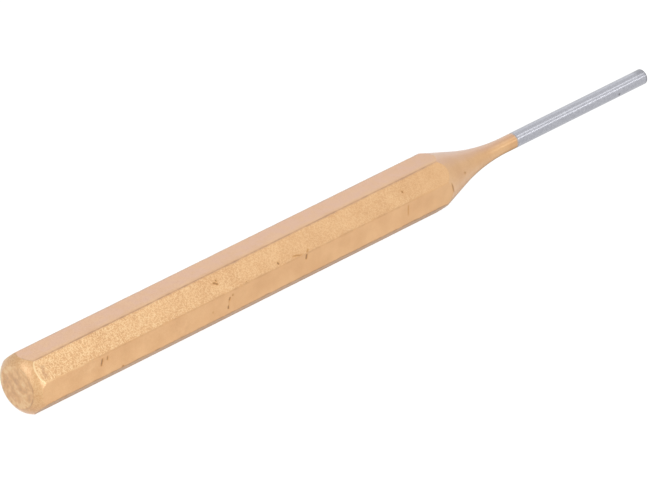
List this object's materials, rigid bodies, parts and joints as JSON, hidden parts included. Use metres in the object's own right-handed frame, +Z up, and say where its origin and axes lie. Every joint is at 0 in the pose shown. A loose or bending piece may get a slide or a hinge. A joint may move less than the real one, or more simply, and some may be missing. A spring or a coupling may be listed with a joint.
{
  "type": "pin punch",
  "caption": "Hand pin punch: lacquered octagonal bar with a crowned striking end and a hollow-turned neck that carries a straight bare steel drive pin.",
  "frame": {"origin": "on the bench under the middle of the punch's length, below the axis of the bar", "axes": "+X along the bar from the striking face to the tip of the drive pin, +Z up, one flat of the bar on the bench"},
  "size_m": [0.15, 0.01, 0.01],
  "materials": {
    "gold_lacquer": "satin metallic gold lacquer over steel",
    "bare_steel": "ground bare steel"
  },
  "bodies": {
    "root": {"shank": "gold_lacquer", "drive_pin": "bare_steel"}
  },
  "joints": []
}
